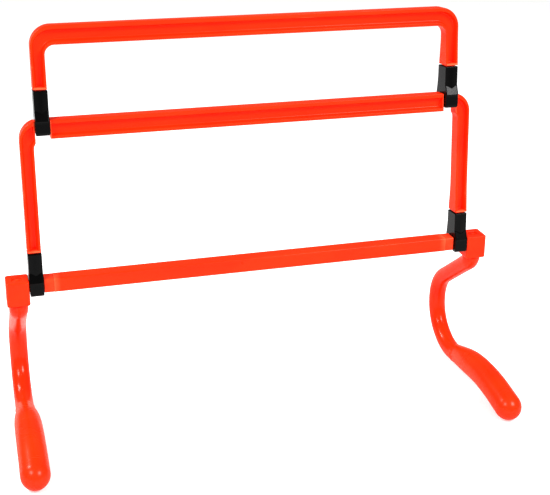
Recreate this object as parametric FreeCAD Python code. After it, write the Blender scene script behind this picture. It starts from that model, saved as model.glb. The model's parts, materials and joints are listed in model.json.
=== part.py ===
"""Agility hurdle with three bars: a base bar on two swivelling C-shaped legs, and two folding U-frames.

Millimetres, +X along the bars, +Y to the back, +Z up.  The floor is z = 0 and the origin is the
middle of the footprint.  At rest the legs point their toes forward (-Y) and both frames stand in one
plane that leans back a few degrees.  Each piece is written to parts/ as a solid of its own.
"""
import FreeCAD, Part
import math
import os

os.makedirs("parts", exist_ok=True)
Vector = FreeCAD.Vector
SIDES = {"left": -1, "right": 1}

# ---- overall sizes -------------------------------------------------------------------------------
BAR_TOP = 158.8          # height of the base bar's top face above the floor
LOWER_WIDTH = 440.4      # lower frame, outside to outside
LOWER_STEP = 149.6       # base bar's top to the middle rail's top, along the frame
UPPER_STEP = 84.9        # middle rail's top to the top rail's top, along the frame
FRAME_LEAN = 4.2         # degrees that the frames lean back at rest

# ---- clearances ----------------------------------------------------------------------------------
RUNNING = 0.05           # radial, between a journal or peg and its bore
END_PLAY = 0.40          # along a hinge, each side
FACE_GAP = 0.10          # between flat faces that turn past each other
SOCKET_GAP = 0.05        # around a tenon in its socket
NEST_GAP = 2.3           # between the frames' posts when the upper frame folds into the lower

# ---- base bar: a rectangular tube ------------------------------------------------------------------
BAR_HEIGHT = 13.9
BAR_DEPTH = 15.0
BAR_WALL = 1.6
BAR_EDGE = 1.3           # outer edge radius
BAR_AXIS_DROP = 8.15     # base hinge axis below the bar's top

# ---- U-frames: an H-shaped section, rail across the top, a post down each side ---------------------
FRAME_DEPTH = 14.0
RAIL_HEIGHT = 17.6
RAIL_AXIS_DROP = 6.1             # middle hinge axis below the middle rail's top
POST_WIDTH = 12.4
CORNER_OUT = 19.0
CORNER_IN = 9.0
LIP_TOP = 3.8
LIP_BOTTOM = 3.0
LIP_POST = 2.1
LIP_END = 1.8
WEB_THICKNESS = 3.6
SWELL_FRONT = 1.4                # the posts swell this much to the front just above the clips
SWELL_BACK = 2.6                 # and this much to the back
POST_FLARE = 28.0                # over this length
POST_GAP = 1.25                  # between a post's shoulder and its clip
BULKHEAD_IN = 3.0                # solid rail inboard of a hinge notch
BULKHEAD_OUT = 1.8               # and outboard of it
UPPER_WIDTH = LOWER_WIDTH - 2 * (POST_WIDTH + NEST_GAP)

# ---- clips, measured from the hinge axis ------------------------------------------------------------
JOURNAL_R = 5.4                          # the round bar stretch that a clip turns on
CLIP_WIDTH = POST_WIDTH + 0.4            # along the bar
JAW_WALL = 5.6                           # in front of the bore
JAW_BACK = 2.0                           # and this much more behind it
SNAP = 1.5                               # how far each jaw tip reaches in under the journal
JAW_FOOT = 2.35                          # jaw below the journal
JAW_TIP_R = 2.6
JAW_DEPTH = JOURNAL_R + JAW_WALL         # axis to the jaws' front face
CLIP_NECK_DEPTH = FRAME_DEPTH + 3.2
NECK_BACK = 1.1                          # the neck reaches this much further back
JAW_TOP = JOURNAL_R + 0.3                # top of the jaws' upright faces
SHOULDER_TOP = JAW_TOP + 6.6             # where the sloping shoulder meets the neck
HEAD_SEAT = JOURNAL_R + 2.2              # where the clip screw's head bears
SOCKET_FLOOR = HEAD_SEAT + 2.9
SOCKET_WALL_X = 2.05
SOCKET_WALL_Y = 2.45
CLIP_TOP = SOCKET_FLOOR + 22.45
TENON_WIDTH = CLIP_WIDTH - 2 * (SOCKET_WALL_X + SOCKET_GAP)
TENON_DEPTH = CLIP_NECK_DEPTH - 2 * (SOCKET_WALL_Y + SOCKET_GAP)
TENON_SHORT = 0.1                        # the tenon stops this far above the socket's floor

# ---- end housings ----------------------------------------------------------------------------------
HOUSING_WIDTH = 21.2
HOUSING_DEPTH = 22.0
HOUSING_HEIGHT = 23.6
HOUSING_EDGE = 2.4       # radius of the upright edges
HOUSING_RIM = 1.0        # radius of the top and bottom edges
COLLAR_STEP = 0.3        # the collar inboard of the clip is this much smaller than the bar, all round
COLLAR_LENGTH = 9.0
PLUG_LENGTH = 22.0       # pressed into the base bar

# ---- legs ------------------------------------------------------------------------------------------
LEG_R = 8.9
LEG_WALL = 2.2
PEG_R = 6.0
PEG_TOP = 6.6            # below the housing's top face
WEB = 2.5                # floor between the peg's bore and the cap's recess
ELBOW_DROP = 30.0        # corner under the peg, below the bar's top
ELBOW_BEND = 12.0
# the C-shaped back: reach behind the peg, height above the floor, bend radius
BACK_CORNERS = [(77.0, 74.0, 41.0), (76.0, 29.6, 40.0)]
HEEL_REACH = 39.8        # corner under the heel; its height follows from the floor
HEEL_BEND = 50.0
ARCH = (-45.0, 23.8, 200.0)
TOE_REACH = -103.0       # centre of the rounded toe
TUBE_SHORT = 18.0        # the tube stops this far before the toe's centre
SLEEVE_START = 16.0      # the sleeve's mouth, behind the peg
SLEEVE_LIP = 1.0         # sleeve's wall at its mouth
SLEEVE_WALL = 4.5        # and along the foot
SLEEVE_FLARE = 46.0      # length over which the sleeve swells to its full size
SOLE_FLAT = 0.35         # flat on the heel and the toe, measured into the curve

# ---- screws and caps -------------------------------------------------------------------------------
LEG_SCREW_R = 1.6
LEG_SCREW_LENGTH = 16.0
LEG_HEAD_R = 3.2
LEG_HEAD_HEIGHT = 1.6
CAP_R = 5.9
CAP_THICKNESS = 1.4
CAP_SINK = 0.4           # below the housing's top face
CAP_CHAMFER = 0.7
CLIP_SCREW_R = 1.4
CLIP_SCREW_LENGTH = 15.0
CLIP_HEAD_R = 2.6
CLIP_HEAD_HEIGHT = 1.9

AXIS_Z = BAR_TOP - BAR_AXIS_DROP         # base hinge axis above the floor
HINGE_STEP = LOWER_STEP + BAR_AXIS_DROP - RAIL_AXIS_DROP     # from one hinge axis to the other
PEG_X = LOWER_WIDTH / 2 + END_PLAY + HOUSING_WIDTH / 2
PEG_END = BAR_AXIS_DROP - PEG_TOP        # top of the peg, from the base hinge axis
HOUSING_UNDER = BAR_AXIS_DROP - HOUSING_HEIGHT
LEG_SCREW_SEAT = PEG_END + FACE_GAP + WEB + FACE_GAP / 2
BIG = 60.0                               # more than any cut has to reach


def box(x0, x1, y0, y1, z0, z1):
    """Solid box between two corners."""
    return Part.makeBox(x1 - x0, y1 - y0, z1 - z0, Vector(x0, y0, z0))


def rounded_box(x0, x1, y0, y1, z0, z1, radius, along):
    """Box whose four edges along one direction are rounded."""
    body = box(x0, x1, y0, y1, z0, z1)
    edges = [e for e in body.Edges if abs(e.tangentAt(e.FirstParameter).dot(along)) > 0.99]
    return body.makeFillet(radius, edges)


def rod(radius, start, end):
    """Solid cylinder between two points."""
    axis = end - start
    return Part.makeCylinder(radius, axis.Length, start, axis)


def filleted_path(points, radii):
    """Wire of straight runs joined by tangent arcs; radii belong to the inner points."""
    edges = []
    here = points[0]
    for before, corner, after, radius in zip(points, points[1:], points[2:], radii):
        into = (corner - before).normalize()
        away = (after - corner).normalize()
        turn = into.getAngle(away)
        tangent = radius * math.tan(turn / 2)
        start = corner - into * tangent
        end = corner + away * tangent
        inward = (away - into).normalize()
        middle = corner + inward * (radius / math.cos(turn / 2) - radius)
        if (start - here).Length > 1e-6:
            edges.append(Part.makeLine(here, start))
        edges.append(Part.Arc(start, middle, end).toShape())
        here = end
    edges.append(Part.makeLine(here, points[-1]))
    return Part.Wire(edges)


def pipe(path, radius):
    """Round solid of one radius along a path."""
    first = path.Edges[0]
    start = first.valueAt(first.FirstParameter)
    ring = Part.Wire(Part.makeCircle(radius, start, first.tangentAt(first.FirstParameter)))
    return path.makePipeShell([ring], True, False)


def u_outline(half, top, foot, rail, post, outer, inner):
    """Closed inverted-U outline in the XZ plane, as a face."""
    a = outer * math.sqrt(0.5)
    b = inner * math.sqrt(0.5)
    under = top - rail
    side = half - post

    def line(p, q):
        return Part.makeLine(Vector(p[0], 0, p[1]), Vector(q[0], 0, q[1]))

    def arc(p, q, r):
        return Part.Arc(*[Vector(k[0], 0, k[1]) for k in (p, q, r)]).toShape()

    edges = [
        line((-half, foot), (-half, top - outer)),
        arc((-half, top - outer), (-half + outer - a, top - outer + a), (-half + outer, top)),
        line((-half + outer, top), (half - outer, top)),
        arc((half - outer, top), (half - outer + a, top - outer + a), (half, top - outer)),
        line((half, top - outer), (half, foot)),
        line((half, foot), (side, foot)),
        line((side, foot), (side, under - inner)),
        arc((side, under - inner), (side - inner + b, under - inner + b), (side - inner, under)),
        line((side - inner, under), (-side + inner, under)),
        arc((-side + inner, under), (-side + inner - b, under - inner + b), (-side, under - inner)),
        line((-side, under - inner), (-side, foot)),
        line((-side, foot), (-half, foot)),
    ]
    return Part.Face(Part.Wire(edges))


def slab(face, y0, y1):
    """Face in the XZ plane made a solid between two depths."""
    moved = face.copy()
    moved.translate(Vector(0, y0, 0))
    return moved.extrude(Vector(0, y1 - y0, 0))


def u_frame(width, rail_top):
    """U-frame standing on its hinge axis (z = 0, the clips' bore), with tenons for two clips."""
    half = width / 2
    foot = CLIP_TOP + POST_GAP
    outline = u_outline(half, rail_top, foot, RAIL_HEIGHT, POST_WIDTH, CORNER_OUT, CORNER_IN)
    body = slab(outline, -FRAME_DEPTH / 2, FRAME_DEPTH / 2)
    narrow = FRAME_DEPTH / 2
    flare = [(-narrow, foot + POST_FLARE), (narrow, foot + POST_FLARE),
             (narrow + SWELL_BACK, foot), (-narrow - SWELL_FRONT, foot)]
    for side in SIDES.values():
        x_in = min(side * half, side * (half - POST_WIDTH))
        wedge = Part.makePolygon([Vector(x_in, y, z) for y, z in flare + flare[:1]])
        body = body.fuse(Part.Face(wedge).extrude(Vector(POST_WIDTH, 0, 0)))
    pocket = u_outline(half - LIP_POST, rail_top - LIP_TOP, foot + LIP_END,
                       RAIL_HEIGHT - LIP_TOP - LIP_BOTTOM, POST_WIDTH - 2 * LIP_POST,
                       CORNER_OUT - LIP_POST, CORNER_IN + LIP_BOTTOM)
    body = body.cut(slab(pocket, -BIG, -WEB_THICKNESS / 2))
    body = body.cut(slab(pocket, WEB_THICKNESS / 2, BIG))
    for side in SIDES.values():
        x = clip_x(width, side)
        tenon = box(x - TENON_WIDTH / 2, x + TENON_WIDTH / 2, -TENON_DEPTH / 2, TENON_DEPTH / 2,
                    SOCKET_FLOOR + TENON_SHORT, foot + LIP_END / 2)
        body = body.fuse(tenon)
        body = body.cut(rod(CLIP_SCREW_R, Vector(x, 0, 0), Vector(x, 0, HEAD_SEAT + CLIP_SCREW_LENGTH)))
    return body.removeSplitter()


def clip_x(width, side):
    """Middle of a clip along X: its outer face is flush with the frame's."""
    return side * (width / 2 - CLIP_WIDTH / 2)


def with_journals(frame, width, rail_top):
    """Cut a notch across the rail at each upper clip and leave a round journal through it."""
    axis = rail_top - RAIL_AXIS_DROP
    under = rail_top - RAIL_HEIGHT
    solid = slab(u_outline(LOWER_WIDTH / 2, rail_top, CLIP_TOP + POST_GAP, RAIL_HEIGHT, POST_WIDTH,
                           CORNER_OUT, CORNER_IN), -FRAME_DEPTH / 2, FRAME_DEPTH / 2)
    for side in SIDES.values():
        x = clip_x(width, side)
        reach = CLIP_WIDTH / 2 + END_PLAY
        ends = sorted((x - side * (reach + BULKHEAD_IN), x + side * (reach + BULKHEAD_OUT)))
        frame = frame.fuse(solid.common(box(ends[0], ends[1], -BIG, BIG, under, rail_top)))
        frame = frame.cut(box(x - reach, x + reach, -BIG, BIG, under - CORNER_IN - 1, rail_top + 1))
        frame = frame.fuse(rod(JOURNAL_R, Vector(x - reach - 1, 0, axis), Vector(x + reach + 1, 0, axis)))
    return frame.removeSplitter()


def clip():
    """Black clip, hinge axis through the origin along X: snap jaws below, a socket above."""
    neck = CLIP_NECK_DEPTH / 2
    foot = JOURNAL_R + JAW_FOOT
    mouth = JOURNAL_R - SNAP
    middle = (CLIP_TOP + SHOULDER_TOP) / 2
    back = JAW_DEPTH + JAW_BACK
    outline = [(neck + NECK_BACK, CLIP_TOP), (neck + NECK_BACK + 0.4, middle), (back - 1.0, SHOULDER_TOP),
               (back, JAW_TOP), (back, -foot), (-JAW_DEPTH, -foot), (-JAW_DEPTH, JAW_TOP),
               (-neck, SHOULDER_TOP), (-neck, CLIP_TOP)]
    wire = Part.makePolygon([Vector(-CLIP_WIDTH / 2, y, z) for y, z in outline + outline[:1]])
    body = Part.Face(wire).extrude(Vector(CLIP_WIDTH, 0, 0))
    tips = [e for e in body.Edges if abs(e.tangentAt(e.FirstParameter).x) > 0.99
            and e.CenterOfMass.z < -foot + 0.1]
    body = body.makeFillet(JAW_TIP_R, tips)
    body = body.cut(rod(JOURNAL_R + RUNNING, Vector(-CLIP_WIDTH, 0, 0), Vector(CLIP_WIDTH, 0, 0)))
    body = body.cut(box(-CLIP_WIDTH, CLIP_WIDTH, -mouth, mouth, -foot - 1, 0))
    wide = TENON_WIDTH / 2 + SOCKET_GAP
    deep = TENON_DEPTH / 2 + SOCKET_GAP
    body = body.cut(box(-wide, wide, -deep, deep, SOCKET_FLOOR, CLIP_TOP + 1))
    body = body.cut(rod(CLIP_HEAD_R + 2 * RUNNING, Vector(0, 0, 0), Vector(0, 0, HEAD_SEAT)))
    return body.cut(rod(CLIP_SCREW_R + 2 * RUNNING, Vector(0, 0, 0), Vector(0, 0, CLIP_TOP)))


def clip_screw():
    """Self-tapping screw from inside the clip's bore up into the tenon."""
    head = rod(CLIP_HEAD_R, Vector(0, 0, HEAD_SEAT - CLIP_HEAD_HEIGHT), Vector(0, 0, HEAD_SEAT))
    return head.fuse(rod(CLIP_SCREW_R, Vector(0, 0, HEAD_SEAT), Vector(0, 0, HEAD_SEAT + CLIP_SCREW_LENGTH)))


def inner_end():
    """X where the base bar tube ends and the housing's collar starts, on the right."""
    return clip_x(LOWER_WIDTH, 1) - CLIP_WIDTH / 2 - END_PLAY - COLLAR_LENGTH


def base_bar():
    """Rectangular tube, open at both ends for the housings' plugs."""
    reach = inner_end()
    y = BAR_DEPTH / 2
    top = BAR_AXIS_DROP
    under = top - BAR_HEIGHT
    tube = rounded_box(-reach, reach, -y, y, under, top, BAR_EDGE, Vector(1, 0, 0))
    hole = box(-reach - 1, reach + 1, -y + BAR_WALL, y - BAR_WALL, under + BAR_WALL, top - BAR_WALL)
    return tube.cut(hole)


def housing():
    """Block on the end of the base bar: leg bore below, capped recess above, journal, collar, plug."""
    x_out = PEG_X + HOUSING_WIDTH / 2
    x_in = PEG_X - HOUSING_WIDTH / 2
    top = BAR_AXIS_DROP
    bottom = HOUSING_UNDER
    y = HOUSING_DEPTH / 2
    block = rounded_box(x_in, x_out, -y, y, bottom, top, HOUSING_EDGE, Vector(0, 0, 1))
    rims = [e for e in block.Edges if min(abs(e.CenterOfMass.z - z) for z in (top, bottom)) < 1e-6]
    block = block.makeFillet(HOUSING_RIM, rims)
    collar_out = inner_end() + COLLAR_LENGTH
    journal = rod(JOURNAL_R, Vector(collar_out - 1, 0, 0), Vector(x_in + 1, 0, 0))
    cy = BAR_DEPTH / 2 - COLLAR_STEP
    under = top - BAR_HEIGHT
    collar = rounded_box(inner_end(), collar_out, -cy, cy, under + COLLAR_STEP, top - COLLAR_STEP,
                         BAR_EDGE, Vector(1, 0, 0))
    py = BAR_DEPTH / 2 - BAR_WALL
    plug = box(inner_end() - PLUG_LENGTH, inner_end() + 1, -py, py, under + BAR_WALL, top - BAR_WALL)
    body = block.fuse([journal, collar, plug])
    body = body.cut(rod(PEG_R + RUNNING, Vector(PEG_X, 0, bottom - 1), Vector(PEG_X, 0, PEG_END + FACE_GAP)))
    recess = PEG_END + FACE_GAP + WEB
    body = body.cut(rod(CAP_R, Vector(PEG_X, 0, recess), Vector(PEG_X, 0, top + 1)))
    body = body.cut(Part.makeCone(CAP_R, CAP_R + CAP_CHAMFER, CAP_CHAMFER,
                                  Vector(PEG_X, 0, top - CAP_CHAMFER), Vector(0, 0, 1)))
    body = body.cut(rod(LEG_SCREW_R + RUNNING, Vector(PEG_X, 0, 0), Vector(PEG_X, 0, recess + 1)))
    return body


def peg_cap():
    """Round cap pressed into the recess over the leg screw."""
    top = BAR_AXIS_DROP - CAP_SINK
    return rod(CAP_R, Vector(PEG_X, 0, top - CAP_THICKNESS), Vector(PEG_X, 0, top))


def leg_screw():
    """Screw through the housing's web into the peg."""
    seat = Vector(PEG_X, 0, LEG_SCREW_SEAT)
    head = rod(LEG_HEAD_R, seat, seat + Vector(0, 0, LEG_HEAD_HEIGHT))
    return head.fuse(rod(LEG_SCREW_R, seat - Vector(0, 0, LEG_SCREW_LENGTH), seat))


def heel_corner(before, after):
    """Corner of the heel whose bend dips just far enough for the sole's flat to lie on the floor."""
    lowest = LEG_R - SOLE_FLAT - AXIS_Z
    height = lowest
    for _ in range(8):
        fall = math.atan2(before.z - height, before.y - HEEL_REACH)
        rise = math.atan2(after.z - height, HEEL_REACH - after.y)
        tangent = HEEL_BEND * math.tan((fall + rise) / 2)
        height = lowest - tangent * math.sin(fall) + HEEL_BEND * (1 - math.cos(fall))
    return Vector(PEG_X, HEEL_REACH, height)


def leg_path(short):
    """The right leg's centre line, from under the housing to a given length before the toe's centre."""
    def point(reach, height):
        return Vector(PEG_X, reach, height - AXIS_Z)

    start = Vector(PEG_X, 0, HOUSING_UNDER - FACE_GAP)
    elbow = Vector(PEG_X, 0, BAR_AXIS_DROP - ELBOW_DROP)
    back = [point(reach, height) for reach, height, bend in BACK_CORNERS]
    arch = point(ARCH[0], ARCH[1])
    heel = heel_corner(back[-1], arch)
    toe = point(TOE_REACH, LEG_R + SLEEVE_WALL - SOLE_FLAT)
    end = toe + (arch - toe).normalize() * short
    bends = [ELBOW_BEND] + [bend for reach, height, bend in BACK_CORNERS] + [HEEL_BEND, ARCH[2]]
    return filleted_path([start, elbow] + back + [heel, arch, end], bends)


def floor_cut(shape):
    """Trim what lies below the floor, which leaves a small flat on a rounded sole."""
    return shape.cut(box(-2 * PEG_X, 2 * PEG_X, -2 * PEG_X, 2 * PEG_X, -AXIS_Z - BIG, -AXIS_Z))


def leg():
    """Hollow tube leg with a solid elbow and a peg on top."""
    body = pipe(leg_path(TUBE_SHORT), LEG_R)
    # the bore starts where the elbow ends and stops a wall short of the tube's end
    bore = Part.Wire(leg_path(TUBE_SHORT + LEG_WALL).Edges[2:])
    peg = rod(PEG_R, Vector(PEG_X, 0, HOUSING_UNDER - 1), Vector(PEG_X, 0, PEG_END))
    body = body.cut(pipe(bore, LEG_R - LEG_WALL)).fuse(peg)
    screw_end = LEG_SCREW_SEAT - LEG_SCREW_LENGTH
    body = body.cut(rod(LEG_SCREW_R, Vector(PEG_X, 0, screw_end), Vector(PEG_X, 0, PEG_END + 1)))
    return floor_cut(body)


def sleeve_stations():
    """Centre, direction and radius of the sleeve's rings, from its mouth to the toe's centre."""
    steps = leg_path(0.0).discretize(Distance=1.0)
    start = max(i for i, p in enumerate(steps) if p.z < -AXIS_Z / 2 and p.y > SLEEVE_START)
    length = len(steps) - 1 - start
    stations = []
    for share in (0.0, 0.12, 0.25, 0.4, 0.6, 0.8, 1.0):
        i = start + round(share * length)
        j = min(i + 1, len(steps) - 1)
        direction = (steps[j] - steps[j - 1]).normalize()
        swell = min(1.0, (steps[i] - steps[start]).Length / SLEEVE_FLARE)
        wall = SLEEVE_LIP + (SLEEVE_WALL - SLEEVE_LIP) * math.sin(swell * math.pi / 2)
        stations.append((steps[i], direction, LEG_R + wall))
    return stations


def foot_sleeve():
    """Thick sleeve on the foot, with a rounded toe."""
    stations = sleeve_stations()
    rings = [Part.Wire(Part.makeCircle(r, centre, direction)) for centre, direction, r in stations]
    outside = Part.makeLoft(rings, True, False)
    outside = outside.fuse(Part.makeSphere(stations[-1][2], stations[-1][0]))
    outside = outside.cut(pipe(leg_path(TUBE_SHORT), LEG_R))
    return floor_cut(outside.removeSplitter())


def placed(shape, dx=0.0, dy=0.0, dz=0.0):
    """Copy of a shape, moved."""
    copy = shape.copy()
    copy.translate(Vector(dx, dy, dz))
    return copy


def mirrored(shape, side):
    """The right-hand piece, or its mirror image for the left."""
    return shape if side > 0 else shape.mirror(Vector(0, 0, 0), Vector(1, 0, 0))


def leaned(shape):
    """A frame piece turned back about the base hinge axis."""
    copy = shape.copy()
    copy.rotate(Vector(0, 0, 0), Vector(1, 0, 0), -FRAME_LEAN)
    return copy


# ---- assembly, about the middle of the base bar, then moved so that the footprint is centred --------
pieces = {"base_bar": base_bar()}
right_leg = leg()
right_sleeve = foot_sleeve()
for name, side in SIDES.items():
    pieces[f"{name}_end_housing"] = mirrored(housing(), side)
    pieces[f"{name}_leg"] = mirrored(right_leg, side)
    pieces[f"{name}_foot_sleeve"] = mirrored(right_sleeve, side)
    pieces[f"{name}_leg_screw"] = mirrored(leg_screw(), side)
    pieces[f"{name}_peg_cap"] = mirrored(peg_cap(), side)

lower = with_journals(u_frame(LOWER_WIDTH, BAR_AXIS_DROP + LOWER_STEP), UPPER_WIDTH,
                      BAR_AXIS_DROP + LOWER_STEP)
upper = u_frame(UPPER_WIDTH, RAIL_AXIS_DROP + UPPER_STEP)
pieces["lower_frame"] = leaned(lower)
pieces["upper_frame"] = leaned(placed(upper, dz=HINGE_STEP))
for name, side in SIDES.items():
    for level, width, height in (("lower", LOWER_WIDTH, 0.0), ("upper", UPPER_WIDTH, HINGE_STEP)):
        x = clip_x(width, side)
        pieces[f"{level}_{name}_clip"] = leaned(placed(clip(), dx=x, dz=height))
        pieces[f"{level}_{name}_clip_screw"] = leaned(placed(clip_screw(), dx=x, dz=height))

footprint = right_leg.fuse(right_sleeve).optimalBoundingBox(False)
PEG_Y = -(footprint.YMin + footprint.YMax) / 2
for name, shape in pieces.items():
    shape.translate(Vector(0, PEG_Y, AXIS_Z))
    shape.exportStep(f"parts/{name}.step")
    print(name, "valid" if shape.isValid() else "NOT VALID", len(shape.Solids), round(shape.Volume))

lean = math.radians(FRAME_LEAN)
print("pegs at x", round(PEG_X, 4), "y", round(PEG_Y, 4), "base hinge z", round(AXIS_Z, 4))
print("middle hinge y", round(PEG_Y + HINGE_STEP * math.sin(lean), 4),
      "z", round(AXIS_Z + HINGE_STEP * math.cos(lean), 4))
heel = [v for v in leg_path(0.0).discretize(Distance=0.5) if v.y > SLEEVE_START]
lowest = min(heel, key=lambda v: v.z)
print("heel rests at y", round(lowest.y + PEG_Y, 3), "toe rests at y", round(TOE_REACH + PEG_Y, 3),
      "heel bottom", round(lowest.z + AXIS_Z - LEG_R, 3))
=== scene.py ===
import json
import logging
import math
from dataclasses import dataclass, field
from enum import Enum
from typing import Any

import bpy
import numpy as np
from mathutils import Matrix, Vector


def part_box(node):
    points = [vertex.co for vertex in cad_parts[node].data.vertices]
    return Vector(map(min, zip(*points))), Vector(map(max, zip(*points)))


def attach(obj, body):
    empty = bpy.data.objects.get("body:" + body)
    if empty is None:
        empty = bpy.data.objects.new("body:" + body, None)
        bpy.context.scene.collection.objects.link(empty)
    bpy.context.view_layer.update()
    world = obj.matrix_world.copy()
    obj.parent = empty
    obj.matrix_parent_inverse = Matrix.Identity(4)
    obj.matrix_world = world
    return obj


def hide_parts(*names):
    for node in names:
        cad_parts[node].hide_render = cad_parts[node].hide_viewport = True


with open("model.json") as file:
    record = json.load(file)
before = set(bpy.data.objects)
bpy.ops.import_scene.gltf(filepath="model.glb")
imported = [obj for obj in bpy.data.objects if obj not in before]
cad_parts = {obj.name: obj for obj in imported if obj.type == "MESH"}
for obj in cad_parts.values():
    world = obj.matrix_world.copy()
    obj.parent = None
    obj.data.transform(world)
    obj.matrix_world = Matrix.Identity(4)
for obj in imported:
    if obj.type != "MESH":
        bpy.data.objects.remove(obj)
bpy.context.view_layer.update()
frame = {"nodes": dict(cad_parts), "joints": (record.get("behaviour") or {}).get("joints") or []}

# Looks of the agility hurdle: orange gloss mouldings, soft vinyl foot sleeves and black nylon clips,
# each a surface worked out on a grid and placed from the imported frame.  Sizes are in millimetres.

LOG = logging.getLogger("hurdle")
MM = 0.001
SIDES = {"left": -1, "right": 1}
ARC_STEPS = 5            # points on each rounded edge
SEAM_AT = 9.0            # radius at which a mould's parting line has its stated width
SEAM_WIDTH = 0.35        # half width of that line
SEAM_CROWD = 0.42        # how strongly a ring's points crowd towards its parting lines
MIDDLE_AXIS_DROP = 6.1   # middle hinge axis below the middle rail's top
UPPER_STEP = 84.9        # middle rail's top to the top rail's top, along the frame


class Slot(Enum):
    """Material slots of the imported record."""

    SHELL = "shell_orange"
    SLEEVE = "sleeve_orange"
    CLIP = "clip_black"
    SCREW = "screw_steel"


# ---- where things are: read from the frame -----------------------------------------------------------

def joint_point(name: str) -> np.ndarray:
    """Point that a joint turns about.

    Args:
        name: the joint's name.

    Returns:
        Its position in millimetres.
    """
    found = next(j for j in frame["joints"] if j["name"] == name)
    return np.array(found["pos_m"]) / MM


def node_box(name: str) -> tuple[np.ndarray, np.ndarray]:
    """Lowest and highest corner of a CAD node, in millimetres."""
    low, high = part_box(name)
    return np.array(low) / MM, np.array(high) / MM


@dataclass(frozen=True)
class Places:
    """Axes and levels shared by the sub-assemblies, in millimetres."""

    base_hinge: np.ndarray = field(default_factory=lambda: joint_point("lower_frame_fold"))
    middle_hinge: np.ndarray = field(default_factory=lambda: joint_point("upper_frame_fold"))
    peg: np.ndarray = field(default_factory=lambda: joint_point("right_leg_swivel"))
    lower_half: float = field(default_factory=lambda: float(node_box("lower_frame")[1][0]))
    upper_half: float = field(default_factory=lambda: float(node_box("upper_frame")[1][0]))
    bar_top: float = field(default_factory=lambda: float(node_box("base_bar")[1][2]))

    @property
    def lean(self) -> float:
        """Angle that the frames lean back, in radians."""
        rise = self.middle_hinge - self.base_hinge
        return math.atan2(rise[1], rise[2])

    @property
    def bar_above(self) -> float:
        """Height of the base bar's top above the base hinge axis."""
        return self.bar_top - float(self.base_hinge[2])

    @property
    def step(self) -> float:
        """Distance between the two hinge axes."""
        return float(np.linalg.norm(self.middle_hinge - self.base_hinge))


# ---- surfaces on grids ----------------------------------------------------------------------------------

@dataclass(frozen=True)
class Grid:
    """A surface on a grid of points: each row is a closed ring, and the rows follow one another."""

    points: np.ndarray           # rows x columns x 3, millimetres
    closed: bool = False         # the last row joins the first; otherwise both ends close with a fan


def ring_faces(rows: int, columns: int, closed: bool) -> tuple[np.ndarray, np.ndarray]:
    """Faces of a grid of closed rings.

    Args:
        rows: number of rings.
        columns: points in each ring.
        closed: whether the last ring joins the first.

    Returns:
        Quads, and the triangles of the two end fans, whose middles are the two points after the grid's.
    """
    index = np.arange(rows * columns).reshape(rows, columns)
    here = index if closed else index[:-1]
    there = np.roll(index, -1, axis=0) if closed else index[1:]
    quads = np.stack([here, np.roll(here, -1, axis=1), np.roll(there, -1, axis=1), there], axis=-1)
    if closed:
        return quads.reshape(-1, 4), np.zeros((0, 3), int)
    first, last = index[0], index[-1]
    low = np.stack([np.full(columns, rows * columns), np.roll(first, -1), first], axis=-1)
    high = np.stack([np.full(columns, rows * columns + 1), last, np.roll(last, -1)], axis=-1)
    return quads.reshape(-1, 4), np.concatenate([low, high])


def signed_volume(points: np.ndarray, quads: np.ndarray, fans: np.ndarray) -> float:
    """Volume inside the faces, negative where they point inwards."""
    corners = np.concatenate([points[quads[:, [0, 1, 2]]], points[quads[:, [0, 2, 3]]], points[fans]])
    return float(np.einsum("ij,ij->", corners[:, 0], np.cross(corners[:, 1], corners[:, 2])))


def make_piece(name: str, grids: list[Grid], sharp: float = 38.0) -> bpy.types.Object:
    """Mesh object from closed grids, faces outwards.

    Args:
        name: the object's name.
        grids: its closed surfaces, in millimetres.
        sharp: edges that turn by more than this many degrees stay sharp.

    Returns:
        The linked object.
    """
    points, faces, count = [], [], 0
    for grid in grids:
        rows, columns = grid.points.shape[:2]
        flat = grid.points.reshape(-1, 3)
        if not grid.closed:
            flat = np.concatenate([flat, [grid.points[0].mean(0), grid.points[-1].mean(0)]])
        quads, fans = ring_faces(rows, columns, grid.closed)
        if signed_volume(flat, quads, fans) < 0:
            quads, fans = quads[:, ::-1], fans[:, ::-1]
        faces += (quads + count).tolist() + (fans + count).tolist()
        points.append(flat)
        count += len(flat)
    mesh = bpy.data.meshes.new(name)
    mesh.from_pydata(np.concatenate(points) * MM, [], faces)
    mesh.polygons.foreach_set("use_smooth", np.ones(len(mesh.polygons), bool))
    mesh.set_sharp_from_angle(angle=math.radians(sharp))
    mesh.update()
    piece = bpy.data.objects.new(name, mesh)
    bpy.context.scene.collection.objects.link(piece)
    return piece


def even_flats(piece: bpy.types.Object) -> None:
    """Weight the piece's normals by face area, so that flats beside a rounded edge stay flat."""
    weighted = piece.modifiers.new("even_flats", "WEIGHTED_NORMAL")
    weighted.keep_sharp = True


def dress(piece: bpy.types.Object, body: str, slot: Slot, material: bpy.types.Material,
          *nodes: str) -> None:
    """Give a piece its material and its body, and hide the CAD nodes that it stands for.

    Args:
        piece: the finished object.
        body: CAD body that it rides on.
        slot: the record's material slot; not used.
        material: its finish.
        nodes: CAD nodes that it replaces.
    """
    piece.data.materials.clear()
    piece.data.materials.append(material)
    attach(piece, body)
    if nodes:
        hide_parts(*nodes)
    LOG.info("%s: %d faces on %s", piece.name, len(piece.data.polygons), body)


# ---- outlines --------------------------------------------------------------------------------------------

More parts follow.
